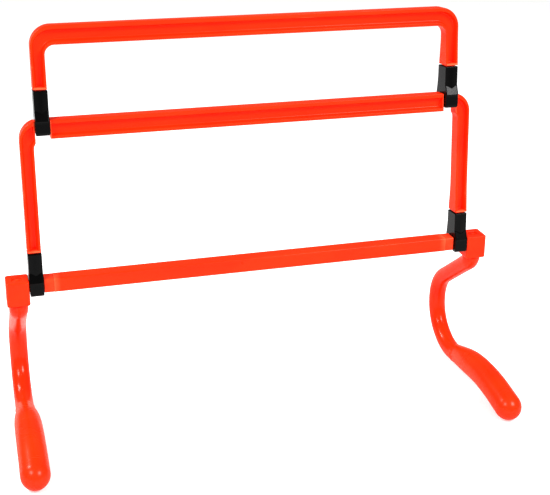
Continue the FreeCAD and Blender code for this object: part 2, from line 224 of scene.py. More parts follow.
def rounded(corners: np.ndarray, radii: np.ndarray, steps: int = ARC_STEPS) -> np.ndarray:
    """Closed polygons with each corner replaced by a tangent arc.

    A corner's arc starts and ends radius x tan(turn / 2) before and after it; its points are the two
    tangent points blended through the circle about the arc's centre.

    Args:
        corners: ... x n x 2 corner points.
        radii: ... x n corner radii, 0 for a bare corner.
        steps: points on each arc.

    Returns:
        ... x (n * steps) x 2 outline points.
    """
    into = corners - np.roll(corners, 1, axis=-2)
    away = np.roll(corners, -1, axis=-2) - corners
    into = into / np.maximum(np.linalg.norm(into, axis=-1, keepdims=True), 1e-9)
    away = away / np.maximum(np.linalg.norm(away, axis=-1, keepdims=True), 1e-9)
    cross = into[..., 0] * away[..., 1] - into[..., 1] * away[..., 0]
    turn = np.arctan2(cross, (into * away).sum(-1))
    radii = np.broadcast_to(radii, turn.shape)
    reach = radii * np.tan(np.abs(turn) / 2)
    start = corners - into * reach[..., None]
    side = np.sign(turn)[..., None] * np.stack([-into[..., 1], into[..., 0]], axis=-1)
    centre = start + side * radii[..., None]
    share = np.linspace(0, 1, steps)
    angle = turn[..., None] * share
    arm = start - centre
    x = arm[..., 0, None] * np.cos(angle) - arm[..., 1, None] * np.sin(angle)
    y = arm[..., 0, None] * np.sin(angle) + arm[..., 1, None] * np.cos(angle)
    points = centre[..., None, :] + np.stack([x, y], axis=-1)
    return points.reshape(*corners.shape[:-2], -1, 2)


def rounded_rectangle(half_a: np.ndarray, half_b: np.ndarray, radius: np.ndarray) -> np.ndarray:
    """Rounded rectangles about the origin, one for each entry of the three arrays.

    Args:
        half_a: half widths.
        half_b: half heights.
        radius: corner radii.

    Returns:
        n x (4 * ARC_STEPS) x 2 outlines.
    """
    a, b, r = np.broadcast_arrays(*np.atleast_1d(half_a, half_b, radius))
    corners = np.stack([np.stack([s * a, t * b], -1) for s, t in ((1, 1), (-1, 1), (-1, -1), (1, -1))], 1)
    return rounded(corners, r[:, None])


def circle_like(outline: np.ndarray, radius: float) -> np.ndarray:
    """Circle whose points lie on the same rays from the origin as an outline's points."""
    return outline / np.linalg.norm(outline, axis=-1, keepdims=True) * radius


def lifted(outline: np.ndarray, level: np.ndarray | float, axes: str) -> np.ndarray:
    """Flat outlines placed in space.

    Args:
        outline: ... x n x 2 points.
        level: coordinate along the third direction, one per outline.
        axes: order of the two outline axes and the level, such as "xyz" or "yzx".

    Returns:
        ... x n x 3 points.
    """
    third = np.broadcast_to(np.asarray(level, float)[..., None], outline.shape[:-1])
    columns = dict(zip(axes, (outline[..., 0], outline[..., 1], third)))
    return np.stack([columns["x"], columns["y"], columns["z"]], axis=-1)


def quarter(count: int = ARC_STEPS) -> tuple[np.ndarray, np.ndarray]:
    """Sine and 1 - cosine over a quarter turn, for edges that roll over."""
    angle = np.linspace(0, math.pi / 2, count)
    return np.sin(angle), 1 - np.cos(angle)


# ---- paths -----------------------------------------------------------------------------------------------

@dataclass(frozen=True)
class Path:
    """A line in the YZ plane of straight runs and tangent arcs, as closely spaced points."""

    points: np.ndarray           # n x 2, (y, z)

    @property
    def lengths(self) -> np.ndarray:
        """Distance from the start to each point."""
        return np.concatenate([[0], np.cumsum(np.linalg.norm(np.diff(self.points, axis=0), axis=1))])

    def at(self, distance: np.ndarray) -> tuple[np.ndarray, np.ndarray]:
        """Points and unit directions at distances, carried on straight past the end.

        Args:
            distance: distances from the start.

        Returns:
            Points (n x 2) and directions (n x 2).
        """
        lengths = self.lengths
        inside = np.clip(distance, 0, lengths[-1])
        points = np.stack([np.interp(inside, lengths, self.points[:, k]) for k in (0, 1)], -1)
        slopes = np.gradient(self.points, lengths, axis=0)
        direction = np.stack([np.interp(inside, lengths, slopes[:, k]) for k in (0, 1)], -1)
        direction /= np.linalg.norm(direction, axis=1, keepdims=True)
        return points + direction * (distance - inside)[:, None], direction


def bent_path(corners: list[tuple[float, float]], bends: list[float], spacing: float = 0.5) -> Path:
    """Straight runs joined by tangent arcs, one arc for each inner corner.

    Args:
        corners: (y, z) of the corners, ends included.
        bends: radius at each inner corner.
        spacing: distance between the path's points.

    Returns:
        The path.
    """
    points = [np.array(corners[0], float)]
    for before, corner, after, bend in zip(corners, corners[1:], corners[2:], bends):
        into = np.subtract(corner, before) / np.linalg.norm(np.subtract(corner, before))
        away = np.subtract(after, corner) / np.linalg.norm(np.subtract(after, corner))
        turn = math.atan2(into[0] * away[1] - into[1] * away[0], float(into @ away))
        start = np.array(corner) - into * bend * math.tan(abs(turn) / 2)
        centre = start + math.copysign(bend, turn) * np.array([-into[1], into[0]])
        angle = np.linspace(0, turn, max(4, int(abs(turn) * bend / spacing)))
        arm = start - centre
        arc = np.stack([arm[0] * np.cos(angle) - arm[1] * np.sin(angle),
                        arm[0] * np.sin(angle) + arm[1] * np.cos(angle)], -1) + centre
        points.extend(arc)
    points.append(np.array(corners[-1], float))
    return Path(np.array(points))


def tube(path: Path, distance: np.ndarray, radius: np.ndarray, x: float, angles: np.ndarray,
         ridge: float = 0.0, narrow: np.ndarray | float = 0.0) -> np.ndarray:
    """Rings about a path in the plane of one x: centre + radius x (cos a, sin a across the path).

    Args:
        path: the centre line.
        distance: distance along it of each ring.
        radius: radius of each ring.
        x: the plane.
        angles: direction of each point round the ring, 0 in the plane of the path.
        ridge: height of the mould's parting line, a narrow bump at angles 0 and pi.
        narrow: how much less than the radius each ring reaches sideways.

    Returns:
        rings x angles x 3 points.
    """
    centre, direction = path.at(distance)
    normal = np.stack([-direction[:, 1], direction[:, 0]], -1)
    bump = ridge * np.exp(-((np.sin(angles) * SEAM_AT / SEAM_WIDTH) ** 2))
    reach = radius[:, None] + bump[None, :] * (radius[:, None] > 0.5)
    out = reach * np.cos(angles)
    sideways = np.broadcast_to(narrow, radius.shape)[:, None]
    return np.stack([x + (reach - sideways) * np.sin(angles),
                     centre[:, None, 0] + out * normal[:, None, 0],
                     centre[:, None, 1] + out * normal[:, None, 1]], -1)


def seam_angles(count: int = 72) -> np.ndarray:
    """Angles round a ring, crowded near 0 and pi where the parting lines run."""
    even = np.arange(count) / count * 2 * math.pi
    return even - SEAM_CROWD * np.sin(2 * even)


# ---- node helper and colours ----------------------------------------------------------------------------

def linear(hex_colour: str) -> tuple[float, float, float, float]:
    """sRGB hex colour as linear RGBA."""
    values = [int(hex_colour[i:i + 2], 16) / 255 for i in (1, 3, 5)]
    return tuple(v / 12.92 if v <= 0.04045 else ((v + 0.055) / 1.055) ** 2.4 for v in values) + (1.0,)


def add(tree: bpy.types.NodeTree, kind: str, links: dict | None = None, **settings: Any) -> bpy.types.Node:
    """Add a node.

    Args:
        tree: the material's node tree.
        kind: node type without its "ShaderNode" prefix.
        links: input name or number to a socket to link, or a value to set.
        settings: properties of the node.

    Returns:
        The new node.
    """
    node = tree.nodes.new("ShaderNode" + kind)
    for name, value in settings.items():
        setattr(node, name, value)
    for name, value in (links or {}).items():
        if isinstance(value, bpy.types.NodeSocket):
            tree.links.new(value, node.inputs[name])
        else:
            node.inputs[name].default_value = value
    return node


def ramp(tree: bpy.types.NodeTree, factor: bpy.types.NodeSocket,
         stops: list[tuple[float, Any]]) -> bpy.types.Node:
    """Colour ramp with given stops.

    Args:
        tree: the material's node tree.
        factor: what drives it.
        stops: (place, hex colour or grey level) pairs in order.

    Returns:
        The ramp node.
    """
    node = add(tree, "ValToRGB", {"Fac": factor})
    bar = node.color_ramp.elements
    while len(bar) < len(stops):
        bar.new(0.5)
    for element, (place, colour) in zip(bar, stops):
        element.position = place
        element.color = linear(colour) if isinstance(colour, str) else (colour, colour, colour, 1.0)
    return node


# ---- finishes --------------------------------------------------------------------------------------------

PLASTIC_IOR = 1.49       # polypropylene, and near enough for vinyl and nylon
GLOW_DEPTH = 1.5         # how far light travels under a plastic's skin
GLOW_COLOUR = (1.0, 0.35, 0.15)      # share of that depth for red, green and blue
BUMP_DEPTH = 0.3         # height of the surface ripple


@dataclass(frozen=True)
class Moulding:
    """Injection-moulded plastic: even colour with faint flow marks, a fine ripple and light scuffs."""

    name: str
    colour: str                  # where the melt is evenly mixed
    deep: str                    # flow marks, slightly darker
    pale_edge_wear_and_highlight: str                    # edges paler: rubbed wear, and a painted highlight along them
    roughness: float
    spread: float                # how far the roughness wanders
    ripple_mm: float             # spacing of the surface ripple
    ripple: float                # bump strength
    flow_mm: float = 42.0        # size of the flow marks
    scuff: float = 0.10          # extra roughness in a scuff
    subsurface: float = 0.0      # share of light that travels under the skin
    specular: float = 0.5        # 0.5 is the plain reflection of PLASTIC_IOR
    sheen: float = 1.0           # share of the surface that reflects; the rest is matt

    def make(self) -> bpy.types.Material:
        """Build the finish: mixed colour with paler edges (rubbed wear and a painted edge highlight), uneven
        roughness and a rippled surface.

        Returns:
            The material.
        """
        material = bpy.data.materials.new(self.name)
        material.use_nodes = True
        tree = material.node_tree
        shader = tree.nodes["Principled BSDF"]
        place = add(tree, "TexCoord").outputs["Object"]

        def noise(size_mm: float, detail: float, stretch: tuple[float, float, float] = (1, 1, 1),
                  distortion: float = 0.0) -> bpy.types.NodeSocket:
            """Noise whose lumps are about a given size.

            Args:
                size_mm: size of the lumps.
                detail: octaves of finer noise on top.
                stretch: scale along each axis, less than 1 to draw the lumps out.
                distortion: how far the lumps are pulled about.

            Returns:
                The noise's 0 to 1 output.
            """
            at = add(tree, "Mapping", {"Vector": place, "Scale": stretch}).outputs[0]
            return add(tree, "TexNoise", {"Vector": at, "Scale": 1 / (size_mm * MM), "Detail": detail,
                                          "Distortion": distortion}).outputs["Fac"]

        flow = noise(self.flow_mm, 3.0, (0.35, 1.0, 1.0), 0.7)
        body = ramp(tree, flow, [(0.32, self.deep), (0.60, self.colour)]).outputs["Color"]
        # Edges lightened by pointiness and scattered noise: partly rubbed wear, partly a painted highlight
        # along the edges.
        edge = ramp(tree, add(tree, "NewGeometry").outputs["Pointiness"], [(0.535, 0.0), (0.66, 1.0)])
        edge_wear_and_highlight = add(tree, "Math", {0: edge.outputs["Color"], 1: noise(9.0, 4.0)}, operation="MULTIPLY")
        worn_and_highlit_colour = add(tree, "Mix", {0: edge_wear_and_highlight.outputs[0], 6: body, 7: linear(self.pale_edge_wear_and_highlight)}, data_type="RGBA")
        tree.links.new(worn_and_highlit_colour.outputs[2], shader.inputs["Base Color"])

        scratch = ramp(tree, noise(1.6, 3.0, (0.12, 1.0, 0.5)), [(0.62, 0.0), (0.74, 1.0)])
        patch = ramp(tree, noise(30.0, 2.0), [(0.45, 0.0), (0.65, 1.0)])
        scuffs = add(tree, "Math", {0: scratch.outputs["Color"], 1: patch.outputs["Color"]},
                     operation="MULTIPLY")
        base = add(tree, "MapRange", {"Value": noise(18.0, 3.0), "To Min": self.roughness - self.spread,
                                      "To Max": self.roughness + self.spread})
        rough = add(tree, "Math", {0: scuffs.outputs[0], 1: self.scuff, 2: base.outputs[0]},
                    operation="MULTIPLY_ADD")
        tree.links.new(rough.outputs[0], shader.inputs["Roughness"])

        bump = add(tree, "Bump", {"Height": noise(self.ripple_mm, 2.0), "Strength": self.ripple,
                                  "Distance": BUMP_DEPTH * MM})
        tree.links.new(bump.outputs[0], shader.inputs["Normal"])
        shader.inputs["IOR"].default_value = PLASTIC_IOR
        shader.inputs["Specular IOR Level"].default_value = self.specular
        if self.subsurface:
            shader.inputs["Subsurface Weight"].default_value = self.subsurface
            shader.inputs["Subsurface Radius"].default_value = GLOW_COLOUR
            shader.inputs["Subsurface Scale"].default_value = GLOW_DEPTH * MM
        if self.sheen < 1:
            matt = add(tree, "BsdfDiffuse", {"Color": worn_and_highlit_colour.outputs[2], "Normal": bump.outputs[0]})
            both = add(tree, "MixShader", {0: self.sheen, 1: matt.outputs[0], 2: shader.outputs[0]})
            tree.links.new(both.outputs[0], tree.nodes["Material Output"].inputs["Surface"])
        return material


@dataclass(frozen=True)
class PlatedSteel:
    """Zinc-plated self-tapping screw: bluish bright metal with fine turned rings."""

    name: str = "zinc_plated_steel"
    colour: str = "#C9CCD1"
    shade: str = "#9DA1A8"
    cloud_mm: float = 2.5        # size of the plating's cloudy patches
    ring_mm: float = 0.4         # spacing of the turning marks
    ring_depth: float = 0.05
    roughness: float = 0.32

    def make(self) -> bpy.types.Material:
        """Build the finish: clouded metal with turned rings.

        Returns:
            The material.
        """
        material = bpy.data.materials.new(self.name)
        material.use_nodes = True
        tree = material.node_tree
        shader = tree.nodes["Principled BSDF"]
        place = add(tree, "TexCoord").outputs["Object"]
        cloud = add(tree, "TexNoise", {"Vector": place, "Scale": 1 / (self.cloud_mm * MM), "Detail": 3.0})
        colour = ramp(tree, cloud.outputs["Fac"], [(0.35, self.shade), (0.65, self.colour)])
        tree.links.new(colour.outputs["Color"], shader.inputs["Base Color"])
        rings = add(tree, "TexWave", {"Vector": place, "Scale": 1 / (self.ring_mm * MM) / math.tau},
                    bands_direction="Z")
        bump = add(tree, "Bump", {"Height": rings.outputs["Fac"], "Strength": 0.3,
                                  "Distance": self.ring_depth * MM})
        tree.links.new(bump.outputs[0], shader.inputs["Normal"])
        shader.inputs["Metallic"].default_value = 1.0
        shader.inputs["Roughness"].default_value = self.roughness
        return material


# Gloss polypropylene, moulded: strong even orange-red, soft highlights, faint flow marks.
SHELL_FINISH = Moulding("moulded_polypropylene_orange", "#EE380E", "#E6310B", "#FF7A54",
                        0.30, 0.05, 1.4, 0.10, subsurface=0.04, specular=0.25, sheen=0.6)
# Round legs come from a polished mould, so they are glossier and show sharper highlights.
LEG_FINISH = Moulding("polished_polypropylene_orange", "#F0360D", "#E82F09", "#FF6A48",
                      0.19, 0.03, 2.2, 0.05, subsurface=0.04, specular=0.42, sheen=0.5)
# Moulded soft vinyl: the same orange, a little softer in its highlights.
SLEEVE_FINISH = Moulding("soft_vinyl_orange", "#F0390E", "#E8330B", "#FF704E",
                         0.27, 0.04, 2.6, 0.08, subsurface=0.06, specular=0.45, sheen=0.45)
# Nylon from a fine-grained mould: near black, satin, with greyer edges that are partly rubbed wear and partly
# a painted highlight.
CLIP_FINISH = Moulding("moulded_nylon_black", "#040404", "#030303", "#2A2A2C",
                       0.24, 0.04, 0.7, 0.12, flow_mm=12.0, specular=0.17)


# ---- sub-assemblies --------------------------------------------------------------------------------------

@dataclass
class Leg:
    """One C-shaped leg with its foot sleeve."""

    side: str
    places: Places
    radius: float = 8.95
    waist: float = 8.5           # the straight below the elbow is a little slimmer
    under: float = 23.7          # leg's shoulder below the bar's top
    waist_end: float = 62.0      # distance along the leg where it starts to thicken again
    waist_ease: float = 40.0     # length over which it does
    shoulder_ease: float = 30.0  # length over which it slims below the shoulder
    elbow_drop: float = 30.0
    elbow_bend: float = 12.0
    back: tuple = ((77.0, 74.0, 41.0), (76.0, 29.6, 40.0))   # corners: behind the peg, height, bend
    heel: tuple = (39.8, 6.28, 50.0)
    arch: tuple = (-45.0, 23.8, 200.0)
    toe: tuple = (-103.0, 13.05)         # centre of the rounded toe
    sleeve_radius: float = 13.45
    sleeve_lip: float = 0.75
    sleeve_flare: float = 50.0   # length over which the sleeve swells to its full size
    pinch: float = 1.75          # the sleeve is this much narrower than it is high near its mouth
    pinch_fade: float = 34.0
    toe_nose: float = 0.9        # the toe's end reaches this much further than half a ball
    toe_power: float = 1.88      # 2 would be a true ball; less makes the tip a little keener
    mouth_at: float = 12.5       # the sleeve's mouth, behind the peg
    tube_short: float = 18.0
    peg_radius: float = 6.0
    peg_rise: float = 17.0       # peg above the leg's shoulder
    ridge: float = 0.05          # height of the parting line
    bore_gap: float = 0.06       # the sleeve's bore is this much wider than the tube

    @property
    def x(self) -> float:
        """Plane that the leg bends in."""
        return SIDES[self.side] * float(abs(self.places.peg[0]))

    def path(self) -> Path:
        """Centre line from the shoulder to the toe's centre.

        Returns:
            The path in the plane that the leg bends in.
        """
        y0 = float(self.places.peg[1])
        top = self.places.bar_top
        corners = [(y0, top - self.under), (y0, top - self.elbow_drop)]
        corners += [(y0 + reach, height) for reach, height, _ in self.back]
        corners += [(y0 + self.heel[0], self.heel[1]), (y0 + self.arch[0], self.arch[1])]
        corners.append((y0 + self.toe[0], self.toe[1]))
        bends = [self.elbow_bend] + [bend for _, _, bend in self.back] + [self.heel[2], self.arch[2]]
        return bent_path(corners, bends)

    def mouth(self, path: Path) -> float:
        """Distance along the path of the sleeve's mouth."""
        low = (path.points[:, 1] < 60) & (path.points[:, 0] > self.places.peg[1] + self.mouth_at)
        return float(path.lengths[low][-1])

    def leg_grid(self, path: Path) -> np.ndarray:
        """Rings of the tube: slim below the elbow, full from the back bend on; rounded shoulder and end.

        The radius eases from the waist to the full radius as the smooth step 3t^2 - 2t^3.

        Args:
            path: the leg's centre line.

        Returns:
            Rings from the shoulder to the tube's end inside the sleeve.
        """
        end = path.lengths[-1] - self.tube_short
        distance = np.concatenate([[0, 0, 0.25, 0.7, 1.3], np.arange(2.2, end - 1.5, 1.5),
                                   [end - 1, end - 0.3, end]])
        grow = np.clip((distance - self.waist_end) / self.waist_ease, 0, 1)
        radius = self.waist + (self.radius - self.waist) * grow * grow * (3 - 2 * grow)
        radius += (self.radius - self.waist) * np.clip(1 - distance / self.shoulder_ease, 0, 1)
        radius[0] = self.peg_radius
        radius[1:4] -= [1.0, 0.55, 0.15]
        radius[-2:] -= [0.3, 1.0]
        return tube(path, distance, radius, self.x, seam_angles(), self.ridge)

    def peg_grid(self, path: Path) -> np.ndarray:
        """Rings of the peg, straight up from inside the shoulder, with a rounded end.

        Args:
            path: the leg's centre line.

        Returns:
            Rings from below the shoulder to the peg's top.
        """
        top = path.points[0, 1]
        heights = np.array([-1.0, 2.0, 8.0, self.peg_rise - 1.0, self.peg_rise - 0.3, self.peg_rise])
        radii = self.peg_radius - np.array([0, 0, 0, 0, 0.3, 1.0])
        angle = np.arange(48) / 48 * math.tau
        ring = np.stack([np.cos(angle), np.sin(angle)], -1)
        outline = radii[:, None, None] * ring + np.array([self.x, path.points[0, 0]])
        return lifted(outline, top + heights, "xyz")

    def sleeve_grid(self, path: Path) -> np.ndarray:
        """Rings of the sleeve: up the bore from its end, over the lip, along the swell and round the toe.

        The outside swells as a quarter of a sine wave.  Near the mouth it is narrower than it is high, and
        that fades away exponentially.  The toe is a ball drawn out a little at its tip.

        Args:
            path: the leg's centre line.

        Returns:
            Rings from the bore's end to the tip of the toe.
        """
        start = self.mouth(path)
        end = path.lengths[-1]
        bore = self.radius + self.bore_gap
        bore_at = np.linspace(end - self.tube_short + 0.3, start + 0.5, 60)
        along = np.concatenate([np.linspace(0, 12, 14), np.arange(13.5, end - start - 1, 1.8), [end - start]])
        swell = np.sin(np.clip(along / self.sleeve_flare, 0, 1) * math.pi / 2)
        outer = bore + self.sleeve_lip + (self.sleeve_radius - bore - self.sleeve_lip) * swell
        outer[:3] -= [0.55, 0.18, 0.04]
        pinch = self.pinch * np.clip(along / 8, 0, 1) * np.exp(-np.maximum(along - 8, 0) / self.pinch_fade)
        pinch *= np.clip((end - start - along) / 20, 0, 1)
        sine, _ = quarter(18)
        nose = (self.sleeve_radius + self.toe_nose) * sine[1:]
        ball = self.sleeve_radius * (1 - sine[1:] ** self.toe_power) ** 0.5
        distance = np.concatenate([bore_at[:1], bore_at, [start + 0.1], start + along, end + nose])
        radius = np.concatenate([[0.5], np.full(60, bore), [bore + 0.12], outer, np.maximum(ball, 0.2)])
        narrow = np.zeros(len(radius))
        narrow[62:62 + len(along)] = pinch
        return tube(path, distance, radius, self.x, seam_angles(), 0.0, narrow)

    def build(self, leg_finish: bpy.types.Material, sleeve_finish: bpy.types.Material) -> None:
        """Make both pieces, flat where they rest on the floor.

        Args:
            leg_finish: material of the tube.
            sleeve_finish: material of the foot sleeve.
        """
        path = self.path()
        body = f"{self.side}_leg"
        for name, slot, finish, node, grids in (
                (f"{self.side}_leg_moulding", Slot.SHELL, leg_finish, f"{self.side}_leg",
                 [self.leg_grid(path), self.peg_grid(path)]),
                (f"{self.side}_sleeve_moulding", Slot.SLEEVE, sleeve_finish, f"{self.side}_foot_sleeve",
                 [self.sleeve_grid(path)])):
            for grid in grids:
                grid[..., 2] = np.maximum(grid[..., 2], 0.0)
            piece = make_piece(name, [Grid(grid) for grid in grids])
            dress(piece, body, slot, finish, node)


@dataclass
class BaseBar:
    """Rectangular tube with its two end housings and their caps."""

    places: Places
    half_height: float = 6.95
    half_depth: float = 7.5
    edge: float = 1.35
    wall: float = 1.6
    half_length: float = 198.0
    roll: float = 0.5            # radius of the tube's end edges
    journal: float = 5.4
    collar_step: float = 0.15    # the collar is this much smaller than the tube, all round
    collar_out: float = 207.0    # its outer end
    plug: float = 22.0           # pressed into the tube
    block_half: tuple = (10.6, 11.0)     # half width and half depth of an end housing
    block_height: float = 23.6
    block_edge: float = 2.4      # radius of its upright edges
    rim: float = 1.0             # and of its top and bottom edges
    recess: float = 5.9          # radius of the cap's recess
    recess_deep: float = 3.95
    chamfer: float = 0.7
    peg_bore: float = 6.05
    peg_deep: float = 17.0
    cap_thick: float = 1.4
    cap_sink: float = 0.4

    @property
    def middle(self) -> np.ndarray:
        """Middle of the bar's section, which lies a little above the hinge axis."""
        return self.places.base_hinge + np.array([0, 0, self.places.bar_above - self.half_height])

    def bar_grid(self) -> np.ndarray:
        """Rings along the outside and back along the inside, with rolled end edges.

        Returns:
            Rings of the closed wall.
        """
        sine, fall = quarter(4)
        roll, reach = self.roll, self.half_length - self.roll
        run = np.concatenate([[-reach], np.linspace(0.4 - reach, reach - 0.4, 59), [reach]])
        x = np.concatenate([-self.half_length + roll * (1 - sine[::-1]), run,
                            self.half_length - roll * (1 - sine)])
        inset = np.concatenate([roll * fall[::-1], np.zeros(len(run)), roll * fall])
        outside = rounded_rectangle(self.half_depth - inset, self.half_height - inset, self.edge - inset / 2)
        inside = rounded_rectangle(np.full(2, self.half_depth - self.wall), self.half_height - self.wall, 0.5)
        rings = np.concatenate([outside, inside])
        level = np.concatenate([x, [self.half_length - 0.01, -self.half_length + 0.01]])
        return lifted(rings, level, "yzx") + self.middle

    def block_grid(self, side: int) -> np.ndarray:
        """Rings from the cap recess over the top, down the block's sides and up into the peg's bore.

        Args:
            side: -1 for the left housing, 1 for the right.

        Returns:
            Rings, round in the recess and the bore and rounded squares in between.
        """
        a, b = self.block_half
        outline = rounded_rectangle(a, b, self.block_edge)[0]
        sine, fall = quarter()
        top, bottom = self.places.bar_above, self.places.bar_above - self.block_height
        rings, levels = [], []

        def circle(radius: float, level: float) -> None:
            """Add a round ring."""
            rings.append(circle_like(outline, radius))
            levels.append(level)

        def square(inset: float, level: float) -> None:
            """Add a rounded square ring, set in from the block's sides."""
            rings.append(rounded_rectangle(a - inset, b - inset, max(self.block_edge - inset, 0.3))[0])
            levels.append(level)

        circle(0.4, top - self.recess_deep)
        circle(self.recess, top - self.recess_deep)
        circle(self.recess, top - self.chamfer - 0.3)
        circle(self.recess + 0.08, top - self.chamfer)
        circle(self.recess + self.chamfer, top - 0.12)
        circle(self.recess + self.chamfer + 0.18, top)
        square(self.rim + 0.6, top)
        for s, f in zip(sine, fall):
            square(self.rim * (1 - s), top - self.rim * f)
        for s, f in zip(sine[::-1], fall[::-1]):
            square(self.rim * (1 - s), bottom + self.rim * f)
        square(self.rim + 0.6, bottom)
        circle(self.peg_bore + 0.4, bottom)
        circle(self.peg_bore, bottom + 0.4)
        circle(self.peg_bore, bottom + self.peg_deep)
        circle(0.4, bottom + self.peg_deep)
        centre = np.array([side * abs(self.places.peg[0]), self.places.peg[1], self.places.base_hinge[2]])
        return lifted(np.array(rings), np.array(levels), "xyz") + centre

    def spigot_grid(self, side: int) -> np.ndarray:
        """Rings of the round journal, the collar and the plug that goes into the tube.

        Args:
            side: -1 for the left housing, 1 for the right.

        Returns:
            Rings from inside the block to the plug's end.
        """
        b, a = self.half_height - self.collar_step, self.half_depth - self.collar_step
        face = abs(self.places.peg[0]) - self.block_half[0]
        collar = rounded_rectangle(a, b, self.edge)[0]
        eased = rounded_rectangle(a - 0.4, b - 0.4, self.edge - 0.3)[0]
        depth, height = self.half_depth - self.wall, self.half_height - self.wall
        plug = rounded_rectangle(depth, height, 0.5)[0]
        small = rounded_rectangle(depth - 0.8, height - 0.8, 0.4)[0]
        journal = circle_like(collar, self.journal) + (self.places.base_hinge - self.middle)[1:]
        plug_end = self.half_length - self.plug
        stations = [(journal, face + 1.0), (journal, self.collar_out + 0.01), (eased, self.collar_out),
                    (collar, self.collar_out - 0.4), (collar, self.half_length + 0.1),
                    (plug, self.half_length), (plug, plug_end + 0.8), (small, plug_end)]
        rings = np.array([ring for ring, _ in stations])
        levels = side * np.array([level for _, level in stations])
        return lifted(rings, levels, "yzx") + self.middle

    def cap_grid(self, side: int) -> np.ndarray:
        """Rings of the cap: flat below, rolled edge, and a dished ring round a low button on top.

        Args:
            side: -1 for the left cap, 1 for the right.

        Returns:
            Round rings from the underside over the edge to the button.
        """
        radius = self.recess - 0.05
        top = self.places.bar_above - self.cap_sink
        profile = np.array([(0.3, -self.cap_thick), (radius - 0.3, -self.cap_thick),
                            (radius, -self.cap_thick + 0.3), (radius, -0.45), (radius - 0.15, -0.15),
                            (radius - 0.5, 0.0), (radius - 0.9, -0.02),
                            (radius - 1.3, -0.85), (radius - 2.0, -1.05), (radius - 2.7, -0.80),
                            (2.2, -0.20), (1.6, -0.10), (0.3, -0.06)])
        angle = np.arange(64) / 64 * math.tau
        ring = np.stack([np.cos(angle), np.sin(angle)], -1)
        centre = np.array([side * abs(self.places.peg[0]), self.places.peg[1], self.places.base_hinge[2]])
        return lifted(profile[:, 0, None, None] * ring, top + profile[:, 1], "xyz") + centre

    def build(self, finish: bpy.types.Material) -> None:
        """Make the tube, the housings and the caps.

        Args:
            finish: material of all of them.
        """
        bar = make_piece("base_bar_tube", [Grid(self.bar_grid(), closed=True)])
        even_flats(bar)
        dress(bar, "base", Slot.SHELL, finish, "base_bar")
        for name, side in SIDES.items():
            block = make_piece(f"{name}_housing_moulding",
                               [Grid(self.block_grid(side)), Grid(self.spigot_grid(side))])
            even_flats(block)
            dress(block, "base", Slot.SHELL, finish, f"{name}_end_housing")
            cap = make_piece(f"{name}_cap_disc", [Grid(self.cap_grid(side))])
            dress(cap, "base", Slot.SHELL, finish, f"{name}_peg_cap")


